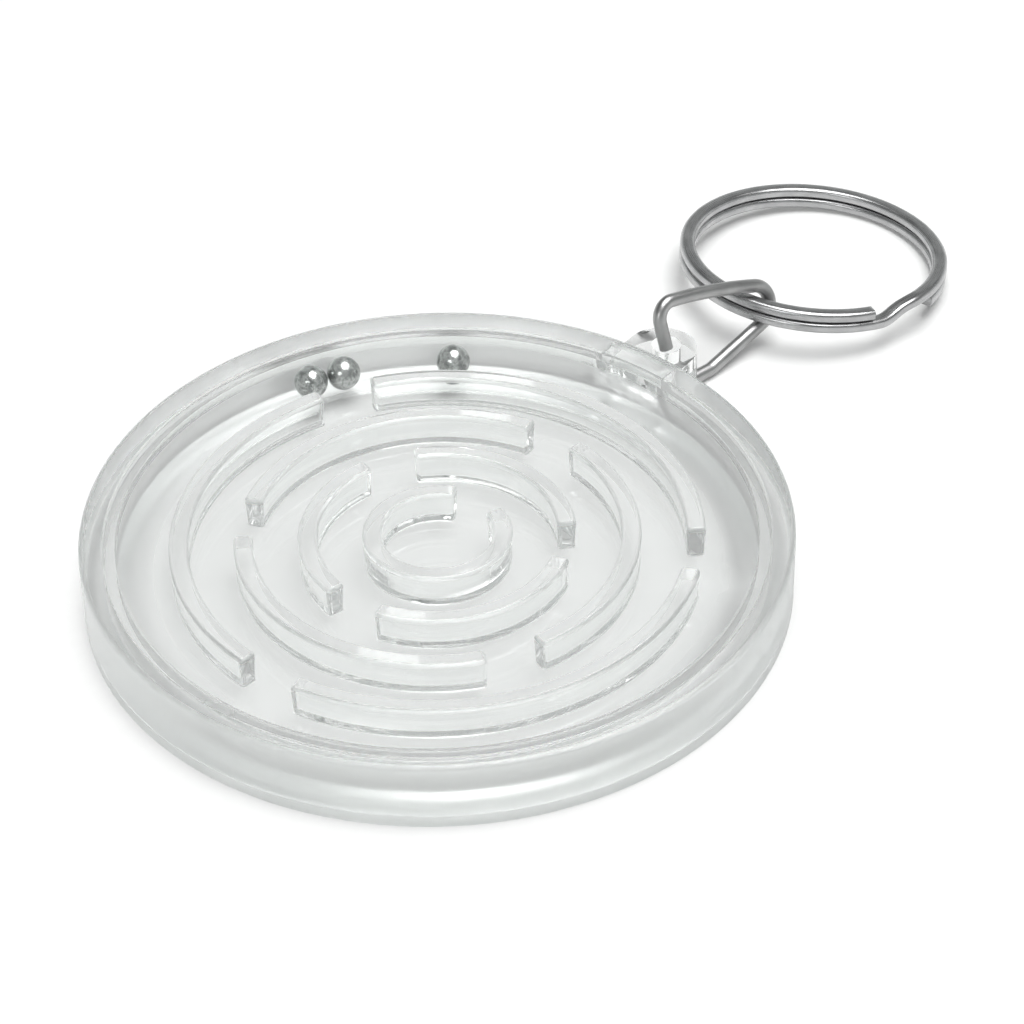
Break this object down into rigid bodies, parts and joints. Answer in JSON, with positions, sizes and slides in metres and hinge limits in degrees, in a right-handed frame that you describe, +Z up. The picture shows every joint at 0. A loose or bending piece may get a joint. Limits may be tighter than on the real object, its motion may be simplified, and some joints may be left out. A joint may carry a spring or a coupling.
{
  "type": "puzzle keyring",
  "caption": "Round clear case with a maze of ring walls and loose steel balls, on a bent wire link and a split key ring.",
  "frame": {"origin": "centre of the case's flat underside", "axes": "+Z up, square to the case's underside; +Y from the case's centre to the lug, the link and the split ring"},
  "size_m": [0.06, 0.0977, 0.0087],
  "materials": {
    "clear_base": "polished clear plastic with a faint green tint",
    "clear_cover": "polished clear plastic",
    "ball_steel": "polished steel",
    "link_wire": "nickel plated wire",
    "ring_wire": "nickel plated wire"
  },
  "bodies": {
    "case": {"base": "clear_base", "cover": "clear_cover"},
    "ball_1": {"ball_1": "ball_steel"},
    "ball_2": {"ball_2": "ball_steel"},
    "ball_3": {"ball_3": "ball_steel"},
    "link": {"wire_link": "link_wire"},
    "ring": {"split_ring": "ring_wire"}
  },
  "joints": [
    {"name": "ball_1_roll", "type": "hinge", "parent": "case", "child": "ball_1", "pos_m": [0, 0, 0], "axis": [0, 0, 1], "range_deg": [0, 160]},
    {"name": "ball_2_roll", "type": "hinge", "parent": "case", "child": "ball_2", "pos_m": [0, 0, 0], "axis": [0, 0, 1], "range_deg": [-15, 0]},
    {"name": "ball_3_roll", "type": "hinge", "parent": "case", "child": "ball_3", "pos_m": [0, 0, 0], "axis": [0, 0, 1], "range_deg": [-160, 0]},
    {"name": "link_swing", "type": "hinge", "parent": "case", "child": "link", "pos_m": [0, 0.0332, 0.00358], "axis": [0, 0, 1], "range_deg": [-55, 60]},
    {"name": "ring_flap", "type": "hinge", "parent": "link", "child": "ring", "pos_m": [0.00223, 0.04356, 0.004], "axis": [0.9962, 0.0865, -0.0106], "range_deg": [-90, 130]}
  ]
}
